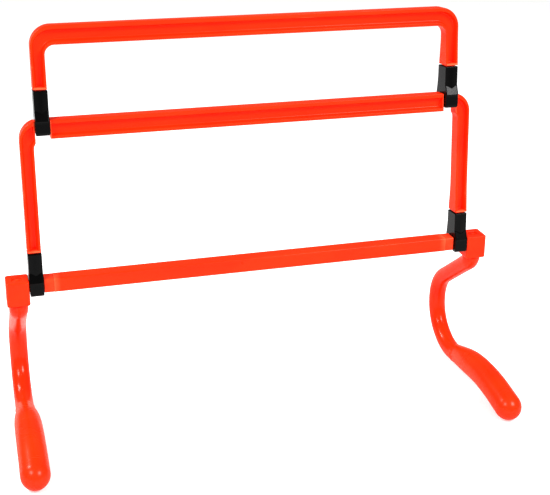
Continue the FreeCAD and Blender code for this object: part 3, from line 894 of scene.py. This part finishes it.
@dataclass
class UFrame:
    """H-section U-frame: a rail across the top and a post down each side, standing on its clips."""

    name: str
    places: Places
    half: float                  # half the outside width
    rail_top: float              # above its own hinge axis
    hinge: np.ndarray
    notch: float | None = None   # half width where upper clips sit, or None
    depth: float = 7.0           # half the front-to-back depth
    rail: float = 17.6
    post: float = 12.4
    corner_out: float = 19.0
    corner_in: float = 9.0
    lips: tuple = (3.8, 3.0, 2.1)    # rail's top lip, rail's bottom lip, posts' lips
    web: float = 1.8             # half the web's thickness
    foot: float = 34.2           # posts' feet above the hinge axis
    end_lip: float = 1.8         # closed end of the recess above a foot
    swell_front: float = 1.4     # the posts swell this much to the front above the clips
    swell_back: float = 2.6      # and this much to the back
    flare: float = 28.0          # over this length
    clip_width: float = 12.8
    end_play: float = 0.4
    bulkhead: tuple = (1.0, 0.9)     # closed ends of the recess inboard and outboard of a notch
    journal: float = 5.4
    tenon_longer: float = 1.8    # a tenon reaches this much further front and back than sideways
    edge: float = 0.75           # radius of the outer edges
    inner_edge: float = 0.55
    floor_edge: float = 1.6      # radius along the recess's floor
    draft: float = 0.9           # slope of the recess's walls
    cove: float = 1.2            # radius at the recess's closed ends
    swell_power: float = 1.15    # above 1, so that the swell starts gently

    def sections(self, outer: np.ndarray, inner: np.ndarray, lip_out: np.ndarray, lip_in: np.ndarray,
                 grown: np.ndarray, share: np.ndarray, inset: np.ndarray) -> np.ndarray:
        """H-sections between an outer and an inner line in the XZ plane.

        Each section is a rounded twelve-cornered H: across it runs from the outer line to the inner
        line, and its height is front to back.  Where a recess's share is 0 the H is a plain rectangle.

        Args:
            outer: n x 2 outer line (x, z).
            inner: n x 2 inner line.
            lip_out: thickness of the lip along the outer line.
            lip_in: thickness of the lip along the inner line.
            grown: how far towards its foot's full swell the section is, 0 to 1.
            share: share of the recesses' full depth.
            inset: how far the whole section is drawn in, for rolled ends.

        Returns:
            n x columns x 3 points about the hinge axis.
        """
        across = inner - outer
        wide = np.linalg.norm(across, axis=1)
        back = self.depth + self.swell_back * grown - inset
        front = self.depth + self.swell_front * grown - inset
        back_web = back - (back - self.web) * share
        front_web = front - (front - self.web) * share
        hollow = front - front_web
        draft = np.minimum(self.draft, hollow / 3)
        t0, t1 = inset, wide - inset
        a0, a1 = lip_out, lip_out + draft
        b0, b1 = wide - lip_in, wide - lip_in - draft
        corners = np.stack([np.stack(pair, -1) for pair in (
            (t0, back), (a0, back), (a1, back_web), (b1, back_web), (b0, back), (t1, back),
            (t1, -front), (b0, -front), (b1, -front_web), (a1, -front_web), (a0, -front), (t0, -front))], 1)
        outer_r = np.maximum(self.edge - inset / 2, 0.2)
        lip_r = np.minimum(self.inner_edge, hollow / 3)
        floor_r = np.minimum(self.floor_edge, hollow / 3)
        half = [outer_r, lip_r, floor_r, floor_r, lip_r, outer_r]
        shape = rounded(corners, np.stack(half + half, 1))
        share = (shape[..., 0] / wide[:, None])[..., None]
        flat = outer[:, None, :] * (1 - share) + inner[:, None, :] * share
        return np.stack([flat[..., 0], shape[..., 1], flat[..., 1]], -1)

    def ends(self, distance: np.ndarray, lip: float) -> np.ndarray:
        """Share of the recess's depth at distances from a closed end: 0 in the lip, then a quick cove."""
        share = np.clip((distance - lip) / self.cove, 0, 1)
        return np.sqrt(share * (2 - share))

    def band(self, start_x: float | None) -> np.ndarray:
        """Right-hand corner and post, from a cut at start_x (or the middle of the rail) down to the foot.

        Args:
            start_x: where the corner part starts, or None to start at the rail's middle.

        Returns:
            Sections from the start to the foot.
        """
        top, under = self.rail_top, self.rail_top - self.rail
        side = self.half - self.post
        out_c = np.array([self.half - self.corner_out, top - self.corner_out])
        in_c = np.array([side - self.corner_in, under - self.corner_in])
        if start_x is None:
            first_out = first_in = math.pi / 2
            lead_out = np.stack([np.linspace(0, out_c[0], 40)[:-1], np.full(39, top)], -1)
            lead_in = np.stack([np.linspace(0, in_c[0], 40)[:-1], np.full(39, under)], -1)
        else:
            first_out = math.acos((start_x - out_c[0]) / self.corner_out)
            first_in = math.acos((start_x - in_c[0]) / self.corner_in)
            lead_out = lead_in = np.zeros((0, 2))
        turn = np.linspace(0, 1, 26)
        outs = first_out * (1 - turn)
        ins = first_in * (1 - turn)
        arc_out = out_c + self.corner_out * np.stack([np.cos(outs), np.sin(outs)], -1)
        arc_in = in_c + self.corner_in * np.stack([np.cos(ins), np.sin(ins)], -1)
        drop = np.concatenate([np.linspace(0, 1, 30)[1:-1] * 0.9, 1 - np.geomspace(0.09, 0.002, 26), [1.0]])
        post_out = np.stack([np.full(len(drop), self.half), out_c[1] + (self.foot - out_c[1]) * drop], -1)
        post_in = np.stack([np.full(len(drop), side), in_c[1] + (self.foot - in_c[1]) * drop], -1)
        outer = np.concatenate([lead_out, arc_out, post_out])
        inner = np.concatenate([lead_in, arc_in, post_in])
        bend = np.concatenate([np.zeros(len(lead_out)), turn, np.ones(len(drop))])
        bend = bend * bend * (3 - 2 * bend)
        above = (outer[:, 1] + inner[:, 1]) / 2 - self.foot
        grown = np.clip(1 - above / self.flare, 0, 1) ** self.swell_power * (bend > 0.99)
        share = np.where(bend > 0.5, self.ends(above, self.end_lip), 1.0)
        if start_x is not None:
            stretch = np.linalg.norm(np.diff(outer + inner, axis=0) / 2, axis=1)
            travel = np.concatenate([[0], np.cumsum(stretch)])
            share = share * self.ends(travel, self.bulkhead[1])
        lip_out = self.lips[0] + (self.lips[2] - self.lips[0]) * bend
        lip_in = self.lips[1] + (self.lips[2] - self.lips[1]) * bend
        inset = np.zeros(len(outer))
        inset[-3:] = [0.1, 0.35, 0.8]
        if start_x is not None:
            inset[:3] = [0.5, 0.15, 0.0]
        return self.sections(outer, inner, lip_out, lip_in, grown, share, inset)

    def rail_band(self, reach: float) -> np.ndarray:
        """Straight rail between two notches, with a solid bulkhead at each end.

        Args:
            reach: half the rail's length.

        Returns:
            Sections from the left end to the right.
        """
        near = np.array([0, 0.12, 0.4, 0.9, 1.0, 1.05, 1.15, 1.3, 1.5, 1.7, 1.95, 2.2, 3.0, 5.0])
        x = np.concatenate([-reach + near, np.linspace(-reach + 8, reach - 8, 60), reach - near[::-1]])
        outer = np.stack([x, np.full(len(x), self.rail_top)], -1)
        inner = np.stack([x, np.full(len(x), self.rail_top - self.rail)], -1)
        share = self.ends(reach - np.abs(x), self.bulkhead[0])
        inset = np.zeros(len(x))
        inset[[0, -1]], inset[[1, -2]] = 0.5, 0.2
        even = np.ones(len(x))
        return self.sections(outer, inner, self.lips[0] * even, self.lips[1] * even, 0 * even, share, inset)

    def tenon(self, side: int) -> np.ndarray:
        """Rings of a tenon from inside the post's end down into the clip's socket.

        Args:
            side: -1 for the left post, 1 for the right.

        Returns:
            Rings about the hinge axis, with an eased lower end.
        """
        x = side * (self.half - self.clip_width / 2)
        level = np.array([self.foot + 0.9, self.foot - 5, 16.0, 11.4, 10.6])
        half_a = np.array([4.3, 4.3, 4.3, 4.3, 3.6])
        outline = rounded_rectangle(half_a, half_a + self.tenon_longer, 0.6) + np.array([x, 0])
        return lifted(outline, level, "xyz")

    def journal_rings(self, side: int) -> np.ndarray:
        """Rings of the round journal across a notch.

        Args:
            side: -1 for the left notch, 1 for the right.

        Returns:
            Round rings that reach into the rail at both ends.
        """
        x = side * (self.notch - self.clip_width / 2)
        reach = self.clip_width / 2 + self.end_play + 1
        angle = np.arange(48) / 48 * math.tau
        outline = self.journal * np.stack([np.cos(angle), np.sin(angle)], -1)
        outline = outline + np.array([0, self.rail_top - MIDDLE_AXIS_DROP])
        level = np.linspace(x - reach, x + reach, 5)
        return lifted(np.broadcast_to(outline, (5, 48, 2)), level, "yzx")

    def build(self, finish: bpy.types.Material) -> None:
        """Make the frame as one piece, leaned back about its hinge.

        Args:
            finish: its material.
        """
        flip = np.array([-1, 1, 1])
        if self.notch is None:
            right = self.band(None)
            grids = [np.concatenate([(right * flip)[::-1], right[1:]])]
        else:
            inner_x = self.notch - self.clip_width - self.end_play
            outer_x = self.notch + self.end_play
            right = self.band(outer_x)
            grids = [right, right * flip, self.rail_band(inner_x)]
            grids += [self.journal_rings(side) for side in SIDES.values()]
        grids += [self.tenon(side) for side in SIDES.values()]
        placed = [Grid(leaned(grid, self.places.lean, self.hinge)) for grid in grids]
        piece = make_piece(f"{self.name}_moulding", placed)
        even_flats(piece)
        dress(piece, self.name, Slot.SHELL, finish, self.name)


def leaned(points: np.ndarray, lean: float, hinge: np.ndarray) -> np.ndarray:
    """Points about a hinge axis turned back by the lean and moved to the hinge.

    Args:
        points: ... x 3 points, with the hinge at the origin.
        lean: angle in radians.
        hinge: where the hinge is.

    Returns:
        The moved points.
    """
    y = points[..., 1] * math.cos(lean) + points[..., 2] * math.sin(lean)
    z = points[..., 2] * math.cos(lean) - points[..., 1] * math.sin(lean)
    return np.stack([points[..., 0] + hinge[0], y + hinge[1], z + hinge[2]], -1)


@dataclass
class Clip:
    """Black snap clip: jaws round the journal, a sloping shoulder and a neck with a socket."""

    level: str
    side: str
    places: Places
    half_width: float = 6.4
    journal: float = 5.4
    bore: float = 5.46
    jaw: float = 11.2            # axis to the jaws' front face
    lip: float = 11.7            # and to the shoulder's edge
    neck: float = 8.5            # axis to the neck's front at the top
    waist: float = 8.2           # and at the shoulder
    jaw_back: float = 13.0       # axis to the jaws' back
    neck_back: float = 9.7       # and to the neck's back at the top
    back_power: float = 2.2      # how late the back sweeps out
    foot: float = 7.75
    top: float = 32.95
    jaw_top: float = 5.7
    slope: float = 0.37          # run over rise of the shoulder
    prow: float = 1.55           # how far the neck's middle stands out at the shoulder
    edge: float = 0.8            # radius of the upright edges
    roll: float = 0.6            # and of the top edge
    tip: float = 2.6             # radius of the jaws' tips
    mouth: float = 3.9           # half the gap between the jaws
    socket: tuple = (4.35, 6.15)     # half width and half depth
    socket_floor: float = 10.5

    def front_at(self, z: np.ndarray, across: np.ndarray) -> np.ndarray:
        """Depth of the front: the larger of the neck's prow and the shoulder's slope, above flat jaws.

        Args:
            z: heights above the hinge axis, as a column.
            across: -1 to 1 over the clip's width, as a row.

        Returns:
            Depths, one for each height and place across.
        """
        rise = np.clip((self.top - z) / (self.top - self.jaw_top), 0, 1)
        neck = self.neck + (self.waist - self.neck) * rise + self.prow * rise * (1 - np.abs(across))
        shoulder = self.lip - (z - self.jaw_top) * self.slope
        flat = self.jaw + (self.lip - self.jaw) * np.clip((z - self.jaw_top + 1.2) / 1.2, 0, 1)
        return np.where(z < self.jaw_top, flat, np.maximum(neck, shoulder))

    def back_at(self, z: np.ndarray, across: np.ndarray) -> np.ndarray:
        """Depth of the back: from the neck it sweeps out to the jaws as a power of the fall.

        Args:
            z: heights above the hinge axis, as a column.
            across: -1 to 1 over the clip's width, as a row.

        Returns:
            Depths, one for each height and place across.
        """
        fall = np.clip((self.top - z) / (self.top - self.jaw_top), 0, 1)
        return self.neck_back + (self.jaw_back - self.neck_back) * fall ** self.back_power + 0 * across

    def skin(self) -> np.ndarray:
        """Rings from the rounded jaw tips up over the shoulder to the rolled top edge.

        Returns:
            Rings about the hinge axis.
        """
        sine, fall = quarter(7)
        _, ease = quarter(4)
        tip = self.tip * (1 - sine)
        low = -self.foot + self.tip * fall
        body = np.concatenate([np.linspace(low[-1] + 0.5, self.jaw_top - 1.25, 6),
                               self.jaw_top + np.array([-0.9, -0.5, -0.2, 0.0, 0.2, 0.5]),
                               np.arange(6.6, 16.4, 0.35), np.linspace(17, self.top - 0.8, 10)])
        roll = self.roll
        z = np.concatenate([low, body, self.top - roll + roll * quarter(4)[0]])
        inset = np.concatenate([tip, np.zeros(len(body)), roll * ease])
        side_in = np.concatenate([0.6 * (1 - sine), np.zeros(len(body)), roll * ease])
        across = np.linspace(-1, 1, 15)
        span = self.half_width - side_in - self.edge
        sine, fall = quarter()
        flat_x = across * span[:, None]
        turn_x = span[:, None] + self.edge * sine[1:]

        def half(depth: np.ndarray) -> np.ndarray:
            """Points from left to right and round the right-hand edge.

            Args:
                depth: depths across the width, a row for each ring.

            Returns:
                rings x points x 2 (x, y).
            """
            turn_y = depth[:, -1:] - self.edge * fall[1:]
            return np.stack([np.concatenate([flat_x, turn_x], 1), np.concatenate([depth, turn_y], 1)], -1)

        back = half(self.back_at(z[:, None], across) - inset[:, None])
        front = half(self.front_at(z[:, None], across) - inset[:, None])
        count = len(across)
        flip = np.array([-1, 1])
        ring = np.concatenate([
            back, (front * -flip)[:, count:][:, ::-1], (front * -flip)[:, :count][:, ::-1],
            (front * -1)[:, count:], (back * flip)[:, count:][:, ::-1]], 1)
        return lifted(ring, z, "xyz")

    def cutters(self) -> list[Grid]:
        """Keyhole prism through the jaws, and the socket's box.

        Returns:
            The two closed grids.
        """
        gap = math.asin(self.mouth / self.bore)
        angle = np.linspace(-math.pi / 2 + gap, 1.5 * math.pi - gap, 61)
        arc = self.bore * np.stack([np.cos(angle), np.sin(angle)], -1)
        flared = np.array([[-self.mouth, -self.foot + 0.8], [-self.mouth - 1.0, -self.foot - 0.6],
                           [self.mouth + 1.0, -self.foot - 0.6], [self.mouth, -self.foot + 0.8]])
        keyhole = np.concatenate([arc, flared])
        wide = self.half_width + 1
        bore = lifted(np.stack([keyhole, keyhole]), np.array([-wide, wide]), "yzx")
        a, b = self.socket
        box = rounded_rectangle(np.full(2, a), b, 0.6)
        return [Grid(bore), Grid(lifted(box, np.array([self.socket_floor, self.top + 1.0]), "xyz"))]

    def build(self, finish: bpy.types.Material) -> None:
        """Make the clip: the skin less the keyhole and the socket, leaned back at its hinge.

        Args:
            finish: its material.
        """
        half = self.places.lower_half if self.level == "lower" else self.places.upper_half
        hinge = self.places.base_hinge if self.level == "lower" else self.places.middle_hinge
        hinge = hinge + np.array([SIDES[self.side] * (half - self.half_width), 0, 0])

        def at_hinge(grid: Grid) -> Grid:
            """The grid at the clip's own place."""
            return Grid(leaned(grid.points, self.places.lean, hinge), grid.closed)

        name = f"{self.level}_{self.side}_clip"
        piece = make_piece(f"{name}_moulding", [at_hinge(Grid(self.skin()))])
        for count, grid in enumerate(self.cutters()):
            cutter = make_piece(f"cutter_{count}", [at_hinge(grid)])
            cut = piece.modifiers.new("cut", "BOOLEAN")
            cut.operation, cut.solver, cut.object = "DIFFERENCE", "EXACT", cutter
            bpy.context.view_layer.update()
            depsgraph = bpy.context.evaluated_depsgraph_get()
            done = bpy.data.meshes.new_from_object(piece.evaluated_get(depsgraph))
            piece.modifiers.clear()
            piece.data = done
            bpy.data.objects.remove(cutter)
        piece.data.set_sharp_from_angle(angle=math.radians(32))
        even_flats(piece)
        dress(piece, f"{self.level}_frame", Slot.CLIP, finish, name)


# ---- stage -----------------------------------------------------------------------------------------------

@dataclass(frozen=True)
class Softbox:
    """A round soft lamp aimed at the hurdle from a direction given by turn and rise."""

    name: str
    turn: float                  # degrees clockwise from straight behind, seen from above
    rise: float                  # degrees above the floor
    away: float                  # metres
    size: float                  # metres across
    power: float                 # watts
    aim: tuple[float, float, float] = (0.0, -0.02, 0.12)     # metres

    def build(self) -> None:
        """Add the lamp."""
        light = bpy.data.lights.new(self.name, "AREA")
        light.shape = "DISK"
        light.size = self.size
        light.energy = self.power
        lamp = bpy.data.objects.new(self.name, light)
        turn, rise = math.radians(self.turn), math.radians(self.rise)
        direction = Vector((math.sin(turn) * math.cos(rise), math.cos(turn) * math.cos(rise), math.sin(rise)))
        lamp.location = Vector(self.aim) + direction * self.away
        lamp.rotation_euler = direction.to_track_quat("Z", "Y").to_euler()
        bpy.context.scene.collection.objects.link(lamp)


@dataclass
class Stage:
    """Pale floor, white surroundings, soft lamps and the camera."""

    camera_at: tuple[float, float, float] = (-0.27085, -0.98608, 0.58987)     # metres
    yaw: float = 16.078          # degrees to the right of straight back
    pitch: float = -18.985       # degrees above level
    roll: float = 0.499          # degrees
    lens: float = 74.68          # focal length over a sensor 36 mm wide
    shift: float = -0.1161       # share of the picture's width
    floor_half: float = 9.0      # metres
    floor_glow: float = 0.42
    floor_down: float = 0.0002   # metres under the feet, so that the faces do not fight
    backdrop: float = 1.05       # the surroundings in view
    gamma: float = 0.80
    ambient: float = 0.72        # what the surroundings light with
    gloss_ambient: float = 0.28  # what glossy faces see of them, as in a darkened studio
    lamps: tuple = (Softbox("left_back", -58, 43, 2.0, 0.62, 26.0),
                    Softbox("left_front", -121, 43, 2.0, 0.62, 26.0),
                    Softbox("right_front", 145, 42, 2.0, 0.70, 38.0))

    def floor(self) -> None:
        """Wide matt floor, faintly lit from within like a light table, with a barely visible grain."""
        ends = (-self.floor_half, self.floor_half)
        mesh = bpy.data.meshes.new("floor")
        mesh.from_pydata([(x, y, 0.0) for x in ends for y in ends], [], [(0, 2, 3, 1)])
        plane = bpy.data.objects.new("floor", mesh)
        plane.location.z = -self.floor_down
        bpy.context.scene.collection.objects.link(plane)
        material = bpy.data.materials.new("matt_white_acrylic")
        material.use_nodes = True
        tree = material.node_tree
        shader = tree.nodes["Principled BSDF"]
        place = add(tree, "TexCoord").outputs["Object"]
        grain = add(tree, "TexNoise", {"Vector": place, "Scale": 40.0, "Detail": 4.0})
        colour = ramp(tree, grain.outputs["Fac"], [(0.3, "#CECECE"), (0.7, "#D2D2D2")])
        tree.links.new(colour.outputs["Color"], shader.inputs["Base Color"])
        shader.inputs["Roughness"].default_value = 0.9
        shader.inputs["Specular IOR Level"].default_value = 0.1
        shader.inputs["Emission Color"].default_value = (1.0, 1.0, 1.0, 1.0)
        shader.inputs["Emission Strength"].default_value = self.floor_glow
        mesh.materials.append(material)

    def camera(self) -> None:
        """Camera at the height, turn and tilt that the object is looked at from."""
        camera = bpy.data.cameras.new("camera")
        camera.lens = self.lens
        camera.sensor_width = 36.0
        camera.shift_y = self.shift
        camera.clip_end = 60.0
        holder = bpy.data.objects.new("camera", camera)
        turn = Matrix.Rotation(math.radians(-self.yaw), 4, "Z")
        tilt = Matrix.Rotation(math.radians(90 + self.pitch), 4, "X")
        roll = Matrix.Rotation(math.radians(self.roll), 4, "Z")
        holder.matrix_world = Matrix.Translation(self.camera_at) @ turn @ tilt @ roll
        bpy.context.scene.collection.objects.link(holder)
        bpy.context.scene.camera = holder

    def world(self) -> None:
        """White surroundings: full white in view, and dimmer where gloss mirrors them."""
        world = bpy.data.worlds.new("white_studio")
        world.use_nodes = True
        tree = world.node_tree
        background = tree.nodes["Background"]
        background.inputs["Color"].default_value = (1.0, 1.0, 1.0, 1.0)
        rays = add(tree, "LightPath")
        lit = add(tree, "Mix", {0: rays.outputs["Is Glossy Ray"], 2: self.ambient, 3: self.gloss_ambient})
        seen = add(tree, "Mix", {0: rays.outputs["Is Camera Ray"], 2: lit.outputs[0], 3: self.backdrop})
        tree.links.new(seen.outputs[0], background.inputs["Strength"])
        bpy.context.scene.world = world
        view = bpy.context.scene.view_settings
        view.view_transform = "Standard"
        view.gamma = self.gamma

    def build(self) -> None:
        """Set the stage."""
        self.camera()
        self.world()
        self.floor()
        for lamp in self.lamps:
            lamp.build()


def main() -> None:
    """Build the hurdle from its sub-assemblies and set the stage."""
    logging.basicConfig(level=logging.INFO, format="%(name)s: %(message)s")
    places = Places()
    shell, clip_black = SHELL_FINISH.make(), CLIP_FINISH.make()
    leg_finish, sleeve_finish = LEG_FINISH.make(), SLEEVE_FINISH.make()
    Stage().build()
    BaseBar(places).build(shell)
    for side in SIDES:
        Leg(side, places).build(leg_finish, sleeve_finish)
    UFrame("lower_frame", places, places.lower_half, places.step + MIDDLE_AXIS_DROP, places.base_hinge,
           notch=places.upper_half).build(shell)
    UFrame("upper_frame", places, places.upper_half, UPPER_STEP + MIDDLE_AXIS_DROP,
           places.middle_hinge).build(shell)
    for level in ("lower", "upper"):
        for side in SIDES:
            Clip(level, side, places).build(clip_black)
    steel = PlatedSteel().make()
    for name, node in frame["nodes"].items():
        if name.endswith("screw"):
            node.data.materials.clear()
            node.data.materials.append(steel)


if __name__ == "__main__":
    main()
